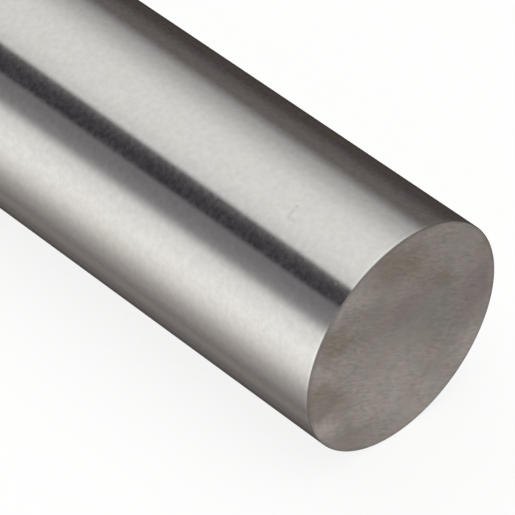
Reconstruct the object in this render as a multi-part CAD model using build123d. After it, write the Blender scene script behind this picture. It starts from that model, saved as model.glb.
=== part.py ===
from build123d import *
import os

# Ground round shaft, cut to length from a centreless-ground steel bar.
#
# One solid piece: a true cylinder with two flat, square-sawn ends, each rim broken by a small
# 45-degree chamfer. It lies along X with its origin on the axis, midway between the ends, so the
# ends are at plus and minus half the length and the floor line is one radius below the origin.

# Driving dimensions, in millimetres
shaft_diameter = 50.0  # ground diameter, the seat for bearings and clamps
shaft_length = 300.0  # cut length, from end face to end face
rim_break = 0.2  # leg of the 45-degree break that takes the saw burr off each rim

# Worked out from the driving dimensions
shaft_radius = shaft_diameter / 2
half_length = shaft_length / 2
end_face_radius = shaft_radius - rim_break  # the flat that is left inside the broken rim
ground_half_length = half_length - rim_break  # where the ground skin stops


def half_section():
    """The outline above the axis: sawn end, broken rim, ground skin, broken rim, sawn end."""
    outline = Polyline(
        (-half_length, 0),
        (-half_length, end_face_radius),
        (-ground_half_length, shaft_radius),
        (ground_half_length, shaft_radius),
        (half_length, end_face_radius),
        (half_length, 0),
        close=True,
    )
    return make_face(outline)


def turned_shaft():
    """The half section carried once round the shaft's own axis."""
    return revolve(half_section(), axis=Axis.X)


os.makedirs("parts", exist_ok=True)
export_step(turned_shaft(), "parts/ground_shaft.step")
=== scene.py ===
import math

import bpy
import numpy as np
from bpy.props import (
    FloatProperty,
    FloatVectorProperty,
    IntProperty,
    PointerProperty,
)
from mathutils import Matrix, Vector


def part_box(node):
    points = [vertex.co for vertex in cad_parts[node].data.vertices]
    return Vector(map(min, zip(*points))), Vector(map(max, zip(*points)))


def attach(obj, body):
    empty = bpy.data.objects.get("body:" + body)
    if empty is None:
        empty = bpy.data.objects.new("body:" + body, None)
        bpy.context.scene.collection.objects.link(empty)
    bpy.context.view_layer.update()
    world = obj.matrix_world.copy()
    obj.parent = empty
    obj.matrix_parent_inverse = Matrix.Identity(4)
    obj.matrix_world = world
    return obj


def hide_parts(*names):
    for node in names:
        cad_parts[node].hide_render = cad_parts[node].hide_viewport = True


bl_info = {
    "name": "Ground Shaft",
    "version": (1, 0, 0),
    "blender": (4, 5, 0),
    "location": "3D View > Sidebar > Ground Shaft",
    "description": "A length of ground round steel with sawn ends, and the studio it lies in",
    "category": "Add Mesh",
}

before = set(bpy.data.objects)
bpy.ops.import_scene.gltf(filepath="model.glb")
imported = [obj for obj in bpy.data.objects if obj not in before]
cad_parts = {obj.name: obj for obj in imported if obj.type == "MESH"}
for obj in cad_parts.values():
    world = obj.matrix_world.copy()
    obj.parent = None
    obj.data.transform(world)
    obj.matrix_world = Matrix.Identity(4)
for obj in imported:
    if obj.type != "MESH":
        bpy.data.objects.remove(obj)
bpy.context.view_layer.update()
NODE = "ground_shaft"
BODY = "root"

box_low, box_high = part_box(NODE)
RADIUS = (box_high.z - box_low.z) / 2
HALF_LENGTH = (box_high.x - box_low.x) / 2
MM = 0.001


class ShaftForm(bpy.types.PropertyGroup):
    """Sizes of the finished shaft's surface."""

    round_steps: IntProperty(
        name="Round steps",
        description="Points round the shaft, a multiple of four",
        default=640,
        min=16,
    )
    length_steps: IntProperty(
        name="Length steps",
        description="Steps along the ground skin",
        default=60,
        min=2,
    )
    stroke_steps: IntProperty(
        name="Stroke steps",
        description="Steps along each row of the sawn faces",
        default=48,
        min=2,
    )
    rim_steps: IntProperty(
        name="Rim steps",
        description="Steps across the broken rim",
        default=6,
        min=1,
    )
    rim_break: FloatProperty(
        name="Rim break",
        description="How far the rim is broken back on the skin and on the face",
        default=0.2 * MM,
        unit="LENGTH",
        precision=5,
    )
    saw_turn: FloatProperty(
        name="Saw stroke",
        description="Turn of the saw's stroke in the end face, from level",
        default=math.radians(-32.6),
        subtype="ANGLE",
    )
    saw_pitch: FloatProperty(
        name="Saw mark pitch",
        description="Usual distance between two saw marks",
        default=1.1 * MM,
        unit="LENGTH",
        precision=5,
    )
    saw_depth: FloatProperty(
        name="Saw mark depth",
        description="Depth of the deepest saw mark",
        default=0.012 * MM,
        unit="LENGTH",
        precision=6,
    )


class ShaftFinish(bpy.types.PropertyGroup):
    """Colours and roughness of the shaft's surfaces."""

    skin_colour: FloatVectorProperty(
        name="Ground skin",
        description="Colour of the ground steel",
        default=(0.70, 0.695, 0.68),
        subtype="COLOR",
        size=3,
        min=0.0,
        max=1.0,
    )
    skin_roughness: FloatProperty(
        name="Skin roughness",
        description="Roughness of the ground steel",
        default=0.09,
        min=0.0,
        max=1.0,
    )
    dash_roughness: FloatProperty(
        name="Dash roughness",
        description="How much rougher the grinding marks are",
        default=0.042,
        min=0.0,
        max=1.0,
    )
    dash_film: FloatProperty(
        name="Dash film",
        description="How dull the grinding marks are, as the share of them that isn't bare metal",
        default=0.05,
        min=0.0,
        max=1.0,
    )
    sawn_colour: FloatVectorProperty(
        name="Sawn face",
        description="Colour of the sawn steel",
        default=(0.605, 0.563, 0.533),
        subtype="COLOR",
        size=3,
        min=0.0,
        max=1.0,
    )
    sawn_roughness: FloatProperty(
        name="Sawn roughness",
        description="Roughness of the sawn steel",
        default=0.5,
        min=0.0,
        max=1.0,
    )
    rim_colour: FloatVectorProperty(
        name="Broken rim",
        description="Colour of the filed edge round each end",
        default=(0.36, 0.345, 0.33),
        subtype="COLOR",
        size=3,
        min=0.0,
        max=1.0,
    )


class ShaftStudio(bpy.types.PropertyGroup):
    """The camera, the floor and the light."""

    lens: FloatProperty(
        name="Lens",
        description="Focal length of the camera, for a sensor 36 mm wide",
        default=274.4,
        unit="CAMERA",
    )
    azimuth: FloatProperty(
        name="Camera azimuth",
        description="Where the camera stands, turned from the front towards the near end",
        default=math.radians(46.11),
        subtype="ANGLE",
    )
    elevation: FloatProperty(
        name="Camera elevation",
        description="How far the camera looks down",
        default=math.radians(42.69),
        subtype="ANGLE",
    )
    distance: FloatProperty(
        name="Camera distance",
        description="From the camera to the near end face, along the line of sight",
        default=736.1 * MM,
        unit="LENGTH",
    )
    end_right: FloatProperty(
        name="End right of centre",
        description="How far the near end face's centre lies right of the line of sight",
        default=27.2 * MM,
        unit="LENGTH",
        precision=4,
    )
    end_below: FloatProperty(
        name="End below centre",
        description="How far the near end face's centre lies below the line of sight",
        default=15.0 * MM,
        unit="LENGTH",
        precision=4,
    )
    floor_side: FloatProperty(
        name="Floor side",
        description="Length of each side of the floor",
        default=12.0,
        unit="LENGTH",
    )


class Value:
    """One output of a node, so that shader maths reads as plain expressions."""

    def __init__(self, graph, socket):
        self.graph = graph
        self.socket = socket

    def __add__(self, other):
        return self.graph.math("ADD", self, other)

    def __sub__(self, other):
        return self.graph.math("SUBTRACT", self, other)

    def __rsub__(self, other):
        return self.graph.math("SUBTRACT", other, self)

    def __mul__(self, other):
        return self.graph.math("MULTIPLY", self, other)

    def __truediv__(self, other):
        return self.graph.math("DIVIDE", self, other)

    def __neg__(self):
        return self.graph.math("MULTIPLY", self, -1.0)

    __radd__ = __add__
    __rmul__ = __mul__


class Graph:
    """One node tree, emptied, and the one way that nodes are added to it."""

    def __init__(self, tree):
        self.tree = tree
        tree.nodes.clear()

    def node(self, kind, settings=None, sockets=None):
        """Adds a node, makes its settings first, and then fills or links its sockets."""
        made = self.tree.nodes.new(kind)
        for name, setting in (settings or {}).items():
            setattr(made, name, setting)
        for name, given in (sockets or {}).items():
            socket = made.inputs[name]
            if isinstance(given, Value):
                self.tree.links.new(given.socket, socket)
            else:
                socket.default_value = given
        return made

    def out(self, made, name=0):
        """An output of a node as a value."""
        return Value(self, made.outputs[name])

    def math(self, operation, *values):
        """The result of one Math node."""
        sockets = dict(enumerate(values))
        made = self.node("ShaderNodeMath", {"operation": operation}, sockets)
        return self.out(made)

    def step(self, value, low, high):
        """0 below low and 1 above high, with a smooth rise between them."""
        made = self.node(
            "ShaderNodeMapRange",
            {"interpolation_type": "SMOOTHSTEP"},
            {"Value": value, "From Min": low, "From Max": high},
        )
        return self.out(made, "Result")

    def spot(self, *offsets):
        """1 in the middle, fading as a bell curve: e to the power of minus the sum of squares. Each
        offset is the distance from the middle in one direction, as a share of the half width."""
        squares = offsets[0] * offsets[0]
        for offset in offsets[1:]:
            squares = squares + offset * offset
        return self.math("EXPONENT", -squares)

    def blend(self, share, first, second):
        """The colour that goes from first to second as share goes from 0 to 1."""
        made = self.node(
            "ShaderNodeMix",
            {"data_type": "RGBA"},
            {"Factor": share, 6: first, 7: second},
        )
        return self.out(made, 2)

    def scaled(self, colour, light):
        """The colour times a share."""
        made = self.node(
            "ShaderNodeVectorMath", {"operation": "SCALE"}, {0: colour, "Scale": light}
        )
        return self.out(made)

    def tint(self, first, second):
        """The product of two colours."""
        made = self.node(
            "ShaderNodeVectorMath", {"operation": "MULTIPLY"}, {0: first, 1: second}
        )
        return self.out(made)

    def noise(self, vector, waves, detail=2.0, roughness=0.5):
        """Soft noise from 0 to 1 at that many waves a metre."""
        made = self.node(
            "ShaderNodeTexNoise",
            {"noise_dimensions": "3D"},
            {"Vector": vector, "Scale": waves, "Detail": detail, "Roughness": roughness},
        )
        return self.out(made, "Fac")

    def clouds(self, vector, waves, low, high, detail=2.0):
        """Soft noise at that many waves a metre, spread to 0 below low and 1 above high."""
        return self.step(self.noise(vector, waves, detail), low, high)

    def place(self):
        """Object coordinates, in metres, as a vector and as x, y and z."""
        vector = self.out(self.node("ShaderNodeTexCoord"), "Object")
        split = self.node("ShaderNodeSeparateXYZ", None, {"Vector": vector})
        return vector, self.out(split, "X"), self.out(split, "Y"), self.out(split, "Z")

    def stretched(self, x, y, z):
        """A vector made of three values."""
        made = self.node("ShaderNodeCombineXYZ", None, {"X": x, "Y": y, "Z": z})
        return self.out(made)

    def bump(self, height, distance):
        """The normal of a surface raised by height times distance, in metres."""
        made = self.node("ShaderNodeBump", None, {"Height": height, "Distance": distance})
        return self.out(made)


# What a stain, a faint hue or the painted highlight multiplies its steel's red, green and blue by
GREENISH = (0.995, 1.003, 0.993)
PINKISH = (1.005, 1.0, 1.004)
GREY_GREEN = (0.98, 1.008, 0.985)
GREY_VIOLET = (1.01, 0.986, 1.02)
WARM = (1.008, 1.0, 0.985)
COOL = (0.99, 1.0, 1.012)
BROWN_STAIN = (0.80, 0.775, 0.72)
BROWN_HAZE = (0.85, 0.825, 0.78)
GREEN_STAIN = (0.81, 0.85, 0.84)
VIOLET_STAIN = (0.85, 0.82, 0.85)
GREY_STAIN = (0.88, 0.88, 0.88)
PALE = (1.16, 1.17, 1.18)
PAINTED_HIGHLIGHT = (1.3, 1.3, 1.31)

# Stains on a sawn face, a lighter lower half, and a painted highlight by the rim at the bottom
# left:
# each one's middle along the saw's stroke and across it, its half length and half height, in shaft
# radii, and its tint
SAWN_STAINS_AND_HIGHLIGHT = (
    # Lighter towards the bottom
    ("pale lower half", 0.05, -0.44, 0.50, 0.34, PALE),
    ("pale lower right", 0.62, -0.55, 0.30, 0.26, PALE),
    ("pale left edge", -0.88, 0.34, 0.22, 0.16, PALE),
    ("pale lower left edge", -0.80, -0.30, 0.20, 0.09, PALE),
    ("pale right edge", 0.93, -0.08, 0.14, 0.22, PALE),
    ("grey left", -0.42, 0.16, 0.30, 0.18, GREY_STAIN),
    ("brown upper left", -0.44, 0.62, 0.36, 0.17, BROWN_STAIN),
    ("brown upper middle", 0.14, 0.47, 0.24, 0.09, BROWN_STAIN),
    ("violet middle", -0.04, 0.26, 0.30, 0.16, VIOLET_STAIN),
    ("green middle", 0.34, 0.20, 0.32, 0.22, GREEN_STAIN),
    ("violet right", 0.68, 0.40, 0.22, 0.30, VIOLET_STAIN),
    ("dark upper right", 0.50, 0.80, 0.12, 0.09, GREY_STAIN),
    ("brown left", -0.84, -0.04, 0.24, 0.13, BROWN_STAIN),
    ("brown lower left", -0.66, -0.56, 0.34, 0.19, BROWN_HAZE),
    ("grey bottom", -0.10, -0.86, 0.26, 0.12, GREY_STAIN),
    # A painted highlight by the rim at the bottom left
    ("painted highlight bottom left", -0.52, -0.80, 0.17, 0.09, PAINTED_HIGHLIGHT),
)

# Marks on the ground skin: millimetres from the near end, degrees round from the back over the
# top, half lengths along and round the shaft in millimetres, how much lighter and how much rougher
SKIN_MARKS = (
    ("upper nick", 21.1, 107.0, 0.36, 0.42, -0.24, 0.0),
    ("long nick", 21.0, 110.6, 0.32, 0.75, -0.15, 0.0),
    ("lower nick", 20.7, 112.9, 0.34, 0.50, -0.13, 0.0),
    ("side nick", 19.7, 113.1, 0.45, 0.32, -0.14, 0.0),
    ("ding", 3.8, 124.8, 0.34, 0.30, 0.0, 0.09),
)

# The ground skin's patterns, in waves a metre: the grinding dashes, which are shorter along the
# shaft by the squeeze and faint in patches, the mottle in its light, and the wandering hue
DASH_WAVES = 950.0
DASH_SQUEEZE = 1.2
FAINT_DASHES = 0.85
PATCH_WAVES = 70.0
MOTTLE_WAVES = 760.0
MOTTLE_LIGHT = 0.08
SKIN_HUE_WAVES = 130.0

# The sawn face's patterns, in waves a metre: the noise that bends the edges of the stains and the
# painted highlight by a share of the radius, two wandering hues, the streaks, the places where they
# are stronger, and the blotches.
# The light and roughness of each are how much its noise changes them.
STAIN_AND_HIGHLIGHT_EDGE_WAVES = 150.0
STROKE_BEND = 0.5
FEED_BEND = 0.42
SAWN_HUE_WAVES = 300.0
WARMTH_WAVES = 180.0
STREAK_WAVES = 1500.0
STREAK_STRETCH = 0.28
STREAK_LIGHT = 0.4
STREAK_ROUGHNESS = 0.2
STRONGER_WAVES = 130.0
STRONGER_LIGHT = 0.5
BLOTCH_WAVES = 330.0
BLOTCH_STRETCH = 0.65
BLOTCH_LIGHT = 0.45
# A stain or the painted highlight has its full tint where its bell curve is above this
STAIN_AND_HIGHLIGHT_FULL = 0.9

# The broken rim's roughness, and its nicks in the same terms
RIM_ROUGHNESS = 0.45
NICK_WAVES = 1500.0
NICK_LIGHT = 0.6
NICK_ROUGHNESS = 0.1

# Rings beside each rim: how far in from the shaft's end or skin each starts and is full, how much
# lighter the skin is there, which is a painted highlight, and how much darker the face is towards
# its rim
SKIN_RING = (0.9 * MM, 0.6 * MM)
SKIN_RING_HIGHLIGHT = 0.09
FACE_RING = (1.1 * MM, 0.3 * MM)
FACE_RING_DARK = 0.14

# Height of the fine relief that only the shading shows
DASH_HEIGHT = 0.0004 * MM
STREAK_HEIGHT = 0.01 * MM
NICK_HEIGHT = 0.01 * MM


def tinted(colour, tint):
    """A colour with its channels scaled by a tint, as red, green, blue and alpha."""
    return (*[channel * share for channel, share in zip(colour, tint)], 1.0)


def new_material(name):
    """An empty node material and its graph."""
    material = bpy.data.materials.new(name)
    material.use_nodes = True
    return material, Graph(material.node_tree)


def steel(graph, colour, roughness, normal, bare=1.0):
    """A metal surface with that colour, roughness, normal and share of bare metal."""
    sockets = {
        "Base Color": colour,
        "Metallic": bare,
        "Roughness": roughness,
        "Normal": normal,
    }
    surface = graph.node("ShaderNodeBsdfPrincipled", None, sockets)
    graph.node("ShaderNodeOutputMaterial", None, {"Surface": graph.out(surface)})


def ground_skin(finish):
    """Ground steel: short dull dashes round the shaft, a faint mottle, a few small marks, and a
    painted highlight in a ring beside each rim.
    """
    material, graph = new_material("ground_skin")
    vector, x, y, z = graph.place()
    squeezed = graph.stretched(x * DASH_SQUEEZE, y, z)
    dashes = graph.clouds(squeezed, DASH_WAVES, 0.25, 0.75, detail=1.0)
    patches = graph.clouds(vector, PATCH_WAVES, 0.3, 0.7)
    dashes = dashes * (FAINT_DASHES + patches * (1.0 - FAINT_DASHES))
    mottle = graph.clouds(vector, MOTTLE_WAVES, 0.25, 0.75)
    hue = graph.clouds(vector, SKIN_HUE_WAVES, 0.35, 0.65)
    hues = [tinted(finish.skin_colour, tint) for tint in (GREENISH, PINKISH)]
    colour = graph.blend(hue, *hues)
    light = 1.0 - MOTTLE_LIGHT / 2 + mottle * MOTTLE_LIGHT
    roughness = finish.skin_roughness + dashes * finish.dash_roughness
    for _, from_end, turn, half_along, half_round, lighter, rougher in SKIN_MARKS:
        out_y, out_z = math.cos(math.radians(turn)), math.sin(math.radians(turn))
        along = (x - (HALF_LENGTH - from_end * MM)) / (half_along * MM)
        out = (y * out_y + z * out_z - RADIUS) / (half_round * MM)
        sideways = (z * out_y - y * out_z) / (half_round * MM)
        mark = graph.spot(along, out, sideways)
        light = light + mark * lighter
        roughness = roughness + mark * rougher
    # A painted highlight: the skin is lighter in a ring beside each rim
    ring = [HALF_LENGTH - inwards for inwards in SKIN_RING]
    light = light + graph.step(graph.math("ABSOLUTE", x), *ring) * SKIN_RING_HIGHLIGHT
    bare = 1.0 - dashes * finish.dash_film
    steel(graph, graph.scaled(colour, light), roughness, graph.bump(dashes, DASH_HEIGHT), bare)
    return material


def sawn_face(finish, form):
    """Sawn steel: soft stains, a lighter lower half, a painted highlight by the rim at the bottom
    left, streaks along the stroke, and a faint hue that wanders.
    """
    material, graph = new_material("sawn_face")
    vector, x, y, z = graph.place()
    side = graph.math("SIGN", x)
    turn_cos, turn_sin = math.cos(form.saw_turn), math.sin(form.saw_turn)
    stroke = (y * turn_cos + z * turn_sin) * side
    feed = (z * turn_cos - y * turn_sin) * side
    turned = graph.stretched(z, x, y)
    bends = [
        graph.noise(place, STAIN_AND_HIGHLIGHT_EDGE_WAVES, detail=5.0, roughness=0.65) - 0.5
        for place in (vector, turned)
    ]
    bent_stroke = stroke / RADIUS + bends[0] * STROKE_BEND
    bent_feed = feed / RADIUS + bends[1] * FEED_BEND
    hue = graph.clouds(vector, SAWN_HUE_WAVES, 0.38, 0.62, detail=3.0)
    warmth = graph.clouds(turned, WARMTH_WAVES, 0.38, 0.62, detail=3.0)
    hues = [tinted(finish.sawn_colour, tint) for tint in (GREY_GREEN, GREY_VIOLET)]
    colour = graph.blend(hue, *hues)
    for _, middle_stroke, middle_feed, half_stroke, half_feed, tint in SAWN_STAINS_AND_HIGHLIGHT:
        stain_and_highlight = graph.spot(
            (bent_stroke - middle_stroke) / half_stroke, (bent_feed - middle_feed) / half_feed
        )
        stain_and_highlight = graph.step(stain_and_highlight, 0.0, STAIN_AND_HIGHLIGHT_FULL)
        colour = graph.blend(stain_and_highlight, colour, tinted(finish.sawn_colour, tint))
    colour = graph.tint(colour, graph.blend(warmth, (*COOL, 1.0), (*WARM, 1.0)))
    along_stroke = graph.stretched(stroke * STREAK_STRETCH, feed, x)
    streaks = graph.noise(along_stroke, STREAK_WAVES, detail=3.0, roughness=0.65)
    stronger = graph.clouds(vector, STRONGER_WAVES, 0.35, 0.62)
    wide = graph.stretched(stroke * BLOTCH_STRETCH, feed, x)
    blotches = graph.noise(wide, BLOTCH_WAVES, detail=5.0, roughness=0.7)
    light = 1.0 + (streaks - 0.5) * (STREAK_LIGHT + stronger * STRONGER_LIGHT)
    light = light + (blotches - 0.5) * BLOTCH_LIGHT
    # The face is darker in a ring towards its rim
    ring = [RADIUS - inwards for inwards in FACE_RING]
    from_axis = graph.math("SQRT", y * y + z * z)
    light = light * (1.0 - graph.step(from_axis, *ring) * FACE_RING_DARK)
    roughness = finish.sawn_roughness + (streaks - 0.5) * STREAK_ROUGHNESS
    steel(graph, graph.scaled(colour, light), roughness, graph.bump(streaks, STREAK_HEIGHT))
    return material


def broken_rim(finish):
    """The filed rim: darker and dull, with short nicks."""
    material, graph = new_material("broken_rim")
    vector = graph.place()[0]
    nicks = graph.noise(vector, NICK_WAVES)
    colour = graph.scaled(finish.rim_colour, 1.0 - NICK_LIGHT / 2 + nicks * NICK_LIGHT)
    roughness = RIM_ROUGHNESS + nicks * NICK_ROUGHNESS
    steel(graph, colour, roughness, graph.bump(nicks, NICK_HEIGHT))
    return material


def grid_faces(rows, columns, first=0):
    """Quads between neighbouring points of a grid whose points are numbered row by row."""
    corner = first + np.arange(rows - 1)[:, None] * columns + np.arange(columns - 1)
    quads = np.stack((corner, corner + 1, corner + columns + 1, corner + columns), -1)
    return quads.reshape(-1, 4)


def turned_grid(stations, radii, angles):
    """A profile carried round the X axis: x is the station, and y and z are the radius times the
    cosine and sine of the angle. Rows follow the profile and columns the angle."""
    x = np.repeat(stations[:, None], len(angles), 1)
    y = radii[:, None] * np.cos(angles)
    z = radii[:, None] * np.sin(angles)
    return np.stack((x, y, z), -1)


# Trains of ridges on a sawn face: each one's height, its waves for each saw mark, and its phase
SAW_TRAINS = ((1.0, 1.0, 0.0), (0.8, 0.618, 1.3), (0.6, 0.27, 0.4))
# How far a ridge bows at the rim, in radii, and how steeply the ridges rise inside the rim
SAW_BOW = 0.012
RIM_FADE = 12


def saw_marks(stroke, feed, pitch, radius):
    """Height of the sawn face from -1 to 0: three trains of ridges across the feed, whose pitches
    don't divide each other, bent a little along the stroke, and fading out at the rim."""
    bow = SAW_BOW * stroke**2 / radius
    way = (feed + bow) / pitch * 2 * math.pi
    ridges = sum(height * np.sin(way * waves + phase) for height, waves, phase in SAW_TRAINS)
    highest = sum(height for height, _, _ in SAW_TRAINS)
    edge = np.clip(1 - (stroke**2 + feed**2) / radius**2, 0, 1)
    return (ridges / highest - 1) / 2 * np.minimum(1, edge * RIM_FADE)


def sawn_grid(side, radius, form):
    """A flat disc in rows along the saw's stroke: the feed is the radius times the sine of a row
    angle, the stroke is the radius times that angle's cosine times the sine of a step angle, and
    x falls by the saw marks' depth."""
    quarter = math.pi / 2
    row_angle = np.linspace(-quarter, quarter, form.round_steps // 2 + 1)[:, None]
    step_angle = np.linspace(-quarter, quarter, form.stroke_steps + 1)[None, :]
    feed = radius * np.sin(row_angle) + 0 * step_angle
    stroke = radius * np.cos(row_angle) * np.sin(step_angle)
    marks = saw_marks(stroke, feed, form.saw_pitch, radius)
    x = side * (HALF_LENGTH + form.saw_depth * marks)
    y = stroke * math.cos(form.saw_turn) - feed * math.sin(form.saw_turn)
    z = stroke * math.sin(form.saw_turn) + feed * math.cos(form.saw_turn)
    return np.stack((x, y, z), -1)


def rim_profile(form):
    """A quarter round from the face to the skin: back from the end by the rim break times one
    minus the cosine, and out from the face's edge by the rim break times the sine."""
    quarter = np.linspace(0, math.pi / 2, form.rim_steps + 1)
    back = form.rim_break * (1 - np.cos(quarter))
    radius = RADIUS - form.rim_break + form.rim_break * np.sin(quarter)
    return back, radius


# Points are one where their coordinates round to the same multiples of this
WELD = 0.0005 * MM


def join_grids(grids):
    """One closed mesh from grids of points, each with its material number: points that coincide
    are welded, and quads that a pole shrinks to triangles lose their doubled corner."""
    points = np.concatenate([g.reshape(-1, 3) for g, _ in grids])
    firsts = np.cumsum([0] + [g.shape[0] * g.shape[1] for g, _ in grids])
    quads = [grid_faces(*g.shape[:2], first) for (g, _), first in zip(grids, firsts)]
    numbers = np.concatenate([np.full(len(q), n) for q, (_, n) in zip(quads, grids)])
    keys = np.round(points / WELD).astype(np.int64)
    _, kept, welded = np.unique(keys, axis=0, return_index=True, return_inverse=True)
    corners = welded.reshape(-1)[np.concatenate(quads)]
    doubled = corners == np.roll(corners, -1, axis=1)
    whole = doubled.sum(1) == 0
    pinched = doubled.sum(1) == 1
    triangles = corners[pinched][~doubled[pinched]].reshape(-1, 3)
    faces = corners[whole].tolist() + triangles.tolist()
    return points[kept], faces, np.concatenate((numbers[whole], numbers[pinched]))


# The shaft's materials, in the order of its material slots
SKIN, RIM, FACE = range(3)


def shaft_mesh(form):
    """The skin, both broken rims and both sawn faces as one closed surface. The skin's stations
    are half its length times the sine of an even run of angles, so its cells are short at the
    rims and the smooth shading there stays that of a cylinder. They run from the near end to the
    far one and the angles run backwards, which turns the faces outwards."""
    angles = form.saw_turn - np.linspace(0, 2 * math.pi, form.round_steps + 1)
    angles[-1] = angles[0]
    back, rim_radii = rim_profile(form)
    skin_end = HALF_LENGTH - form.rim_break
    stations = skin_end * np.sin(np.linspace(math.pi / 2, -math.pi / 2, form.length_steps + 1))
    skin = turned_grid(stations, np.full(len(stations), RADIUS), angles)
    near_rim = turned_grid(HALF_LENGTH - back, rim_radii, angles)
    far_rim = turned_grid(back[::-1] - HALF_LENGTH, rim_radii[::-1], angles)
    face_radius = RADIUS - form.rim_break
    near_face = sawn_grid(1, face_radius, form)
    far_face = sawn_grid(-1, face_radius, form)[:, ::-1]
    grids = [(skin, SKIN), (near_rim, RIM), (far_rim, RIM), (near_face, FACE), (far_face, FACE)]
    return join_grids(grids)


class SHAFT_OT_shaft(bpy.types.Operator):
    """Make the shaft's finished surface and its three finishes"""

    bl_idname = "ground_shaft.make_shaft"
    bl_label = "Make the shaft"

    def execute(self, context):
        form = context.scene.shaft_form
        finish = context.scene.shaft_finish
        points, faces, numbers = shaft_mesh(form)
        mesh = bpy.data.meshes.new("steel_shaft")
        mesh.from_pydata(points, [], faces)
        mesh.polygons.foreach_set("material_index", numbers.astype(np.int32))
        mesh.polygons.foreach_set("use_smooth", np.ones(len(faces), bool))
        for material in (ground_skin(finish), broken_rim(finish), sawn_face(finish, form)):
            mesh.materials.append(material)
        mesh.validate()
        mesh.update()
        shaft = bpy.data.objects.new("steel_shaft", mesh)
        context.scene.collection.objects.link(shaft)
        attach(shaft, BODY)
        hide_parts(NODE)
        return {"FINISHED"}


# Panels of the studio as the shaft sees them, each running along the shaft: the angles, in
# degrees up from the horizon in front and over the top, where it comes in and goes out, how
# many degrees each edge takes to do so, its strength and tint, and how far it leans up towards
# the near end.
STUDIO_PANELS = (
    ("window", -31.0, 44.0, 17.4, 14.5, 0.47, (1.0, 1.0, 0.955), 3.0),
    ("window haze", -51.0, 52.0, 12.0, 50.0, 0.41, (1.0, 0.975, 0.93), 3.0),
    ("grey card", -20.0, 40.0, 41.4, 4.5, 0.163, (1.0, 0.98, 1.06), 2.1),
    ("bench", -97.0, 44.0, -20.0, 40.0, 0.161, (1.0, 0.9, 0.86), 0.0),
    ("bench foot", -112.0, 4.0, -94.0, 5.0, 0.03, (1.0, 0.92, 0.88), 0.0),
    ("bench edge", -84.0, 16.0, -72.0, 6.0, 0.045, (1.0, 0.9, 0.85), 0.0),
    ("bench lip", -60.0, 8.0, -50.0, 12.0, 0.016, (1.0, 0.95, 0.92), 0.0),
    ("gap", 42.0, 6.0, 64.0, 8.0, 0.012, (0.0, 0.15, 1.0), 0.0),
    ("gap light", 49.5, 8.0, 64.0, 8.0, 0.013, (1.0, 0.9, 0.75), 0.0),
    ("soft box frame", 56.0, 8.0, 66.0, 6.0, 0.054, (1.0, 0.95, 0.9), -1.1),
    ("soft box", 61.7, 4.0, 150.1, 17.0, 0.346, (1.0, 0.99, 0.985), -1.1),
    ("soft box middle", 62.8, 6.0, 132.0, 46.0, 0.357, (1.0, 1.0, 0.97), -1.1),
    ("soft box core", 71.0, 24.0, 118.0, 46.0, 0.168, (1.0, 1.0, 0.95), -1.1),
    ("back wall", 150.0, 12.0, 180.0, 34.0, 0.106, (1.0, 0.86, 0.865), 0.5),
    ("low wall", 190.0, 20.0, 212.0, 24.0, 0.027, (1.0, 0.6, 0.45), 0.0),
    ("floor edge", 247.0, 8.0, 262.0, 4.0, 0.056, (1.0, 0.92, 0.88), 0.0),
)
# The share along X of the rays that the shaft mirrors from the photo's camera, beyond the frame's
# far side and beyond the shaft's near end
VIEW_FAR = -0.68
VIEW_NEAR = -0.43
# The floor behind the shaft, in the same angles. It is dark where the shaft mirrors it towards the
# photo's camera: each row also gives where along the shaft it comes in, as the mirrored ray's
# share along X, and the share that it takes to do so, which is negative for a row that comes in
# towards the far end.
FLOOR_PANELS = (
    ("floor behind", 225.0, 50.0, 258.0, 16.0, 0.26, (1.0, 0.95, 0.9), -0.38, 0.25),
    ("floor behind the near end", 228.0, 40.0, 258.0, 16.0, 0.3, (1.0, 0.95, 0.9), 0.1, 0.3),
    ("floor behind the far end", 225.0, 50.0, 258.0, 16.0, 0.45, (1.0, 0.95, 0.9), -0.622, -0.05),
)
# The bare room between the panels, and how much brighter it all is towards the near end
ROOM_STRENGTH = 0.044
ROOM_TINT = (1.0, 0.89, 0.86)
NEAR_GAIN = 0.045
# The room's end walls: the shares along X between which they come in, how much of the panels they
# hide, and their strength
END_COMES, END_FULL = 0.72, 0.95
END_HIDES = 0.5
END_STRENGTH = 0.4
# Angles run on round the shaft from this one, in degrees
LOWEST_ANGLE = -100.0
# How grey the floor is to the light, and how much it glows to the camera alone
FLOOR_GREY = 0.3
FLOOR_GLOW = 0.81
# Width of the camera's sensor, in the camera's millimetres
SENSOR_WIDTH = 36.0


def panel_share(graph, angle, low, low_fade, high, high_fade):
    """1 on a panel and 0 beside it, with soft edges."""
    rise = graph.step(angle, low - low_fade / 2, low + low_fade / 2)
    fall = graph.step(angle, high - high_fade / 2, high + high_fade / 2)
    return rise * (1.0 - fall)


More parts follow.
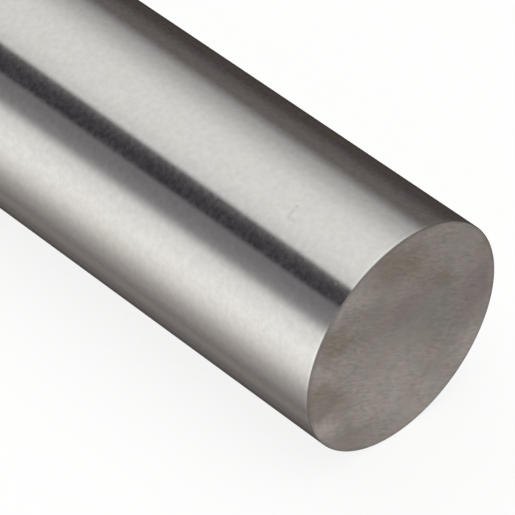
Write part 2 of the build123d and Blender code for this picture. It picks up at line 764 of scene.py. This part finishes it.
def studio_world(scene):
    """A white room to the camera, and the studio's panels to whatever mirrors or catches light."""
    world = bpy.data.worlds.new("studio")
    world.use_nodes = True
    scene.world = world
    graph = Graph(world.node_tree)
    direction = graph.out(graph.node("ShaderNodeTexCoord"), "Generated")
    split = graph.node("ShaderNodeSeparateXYZ", None, {"Vector": direction})
    along, back, up = (graph.out(split, name) for name in "XYZ")
    angle = graph.math("ARCTAN2", up, -back) * math.degrees(1.0)
    angle = angle + graph.math("LESS_THAN", angle, LOWEST_ANGLE) * 360.0
    near = graph.step(along, VIEW_FAR, VIEW_NEAR) * 2.0 - 1.0
    light = [ROOM_STRENGTH * c for c in ROOM_TINT]
    for _, low, low_fade, high, high_fade, strength, tint, lean in STUDIO_PANELS:
        turned = angle - near * lean
        panel = panel_share(graph, turned, low, low_fade, high, high_fade) * strength
        light = [panel * t + c for t, c in zip(tint, light)]
    light = [c * (1.0 + near * NEAR_GAIN) for c in light]
    for _, low, low_fade, high, high_fade, strength, tint, start, start_fade in FLOOR_PANELS:
        panel = panel_share(graph, angle, low, low_fade, high, high_fade) * strength
        panel = panel * graph.step(along, start, start + start_fade)
        light = [panel * t + c for t, c in zip(tint, light)]
    ends = graph.step(graph.math("ABSOLUTE", along), END_COMES, END_FULL)
    light = [c * (1.0 - ends * END_HIDES) + ends * END_STRENGTH for c in light]
    camera = graph.out(graph.node("ShaderNodeLightPath"), "Is Camera Ray")
    light = [graph.math("MAXIMUM", c, camera) for c in light]
    channels = dict(zip(("Red", "Green", "Blue"), light))
    made = graph.node("ShaderNodeCombineColor", None, channels)
    background = graph.node("ShaderNodeBackground", None, {"Color": graph.out(made)})
    graph.node("ShaderNodeOutputWorld", None, {"Surface": graph.out(background)})


def studio_floor(studio):
    """A matt floor just under the shaft, which turns white to the camera and keeps the shadow."""
    half = studio.floor_side / 2
    corners = [(-half, -half), (half, -half), (half, half), (-half, half)]
    mesh = bpy.data.meshes.new("floor")
    mesh.from_pydata([(x, y, box_low.z) for x, y in corners], [], [(0, 1, 2, 3)])
    material, graph = new_material("pale_floor")
    grey = (FLOOR_GREY, FLOOR_GREY, FLOOR_GREY, 1.0)
    surface = graph.node("ShaderNodeBsdfDiffuse", None, {"Color": grey})
    camera = graph.out(graph.node("ShaderNodeLightPath"), "Is Camera Ray")
    glow = graph.node("ShaderNodeEmission", None, {"Strength": camera * FLOOR_GLOW})
    both = graph.node("ShaderNodeAddShader", None, {0: graph.out(surface), 1: graph.out(glow)})
    graph.node("ShaderNodeOutputMaterial", None, {"Surface": graph.out(both)})
    mesh.materials.append(material)
    floor = bpy.data.objects.new("floor", mesh)
    floor.visible_glossy = False
    bpy.context.scene.collection.objects.link(floor)


def photo_camera(scene, studio):
    """The camera with its line of sight through the frame's centre and its top edge level."""
    turn, lift = studio.azimuth, studio.elevation
    flat = math.cos(lift)
    back = Vector((math.sin(turn) * flat, -math.cos(turn) * flat, math.sin(lift)))
    right = Vector((math.cos(turn), math.sin(turn), 0.0))
    up = back.cross(right)
    near_end = Vector((HALF_LENGTH, 0.0, 0.0))
    aim = near_end - right * studio.end_right + up * studio.end_below
    camera = bpy.data.objects.new("camera", bpy.data.cameras.new("camera"))
    camera.data.sensor_width = SENSOR_WIDTH
    camera.data.lens = studio.lens
    camera.data.clip_start = 0.01
    camera.data.clip_end = 100.0
    camera.location = aim + back * studio.distance
    camera.rotation_mode = "QUATERNION"
    camera.rotation_quaternion = back.to_track_quat("Z", "Y")
    scene.collection.objects.link(camera)
    scene.camera = camera


class SHAFT_OT_studio(bpy.types.Operator):
    """Set the floor, the soft light and the camera round the shaft"""

    bl_idname = "ground_shaft.set_studio"
    bl_label = "Set the studio"

    def execute(self, context):
        scene = context.scene
        photo_camera(scene, scene.shaft_studio)
        studio_floor(scene.shaft_studio)
        studio_world(scene)
        scene.view_settings.view_transform = "Standard"
        return {"FINISHED"}


class SHAFT_PT_panel(bpy.types.Panel):
    """The shaft's sizes, finishes and studio in the sidebar."""

    bl_label = "Ground Shaft"
    bl_idname = "SHAFT_PT_panel"
    bl_space_type = "VIEW_3D"
    bl_region_type = "UI"
    bl_category = "Ground Shaft"

    def draw(self, context):
        groups = {
            SHAFT_OT_shaft.bl_idname: ("shaft_form", "shaft_finish"),
            SHAFT_OT_studio.bl_idname: ("shaft_studio",),
        }
        for operator, names in groups.items():
            for group in (getattr(context.scene, name) for name in names):
                for name in group.__annotations__:
                    self.layout.prop(group, name)
            self.layout.operator(operator)


GROUPS = {"shaft_form": ShaftForm, "shaft_finish": ShaftFinish, "shaft_studio": ShaftStudio}
OPERATORS = (SHAFT_OT_shaft, SHAFT_OT_studio)


def register():
    """Makes the property groups, operators and panel known to Blender."""
    for name, group in GROUPS.items():
        bpy.utils.register_class(group)
        setattr(bpy.types.Scene, name, PointerProperty(type=group))
    for operator in (*OPERATORS, SHAFT_PT_panel):
        bpy.utils.register_class(operator)


def unregister():
    """Takes back what register did."""
    for operator in (SHAFT_PT_panel, *reversed(OPERATORS)):
        bpy.utils.unregister_class(operator)
    for name, group in GROUPS.items():
        delattr(bpy.types.Scene, name)
        bpy.utils.unregister_class(group)


def main():
    """Builds the shaft and its studio."""
    register()
    bpy.ops.ground_shaft.make_shaft()
    bpy.ops.ground_shaft.set_studio()


if __name__ == "__main__":
    main()
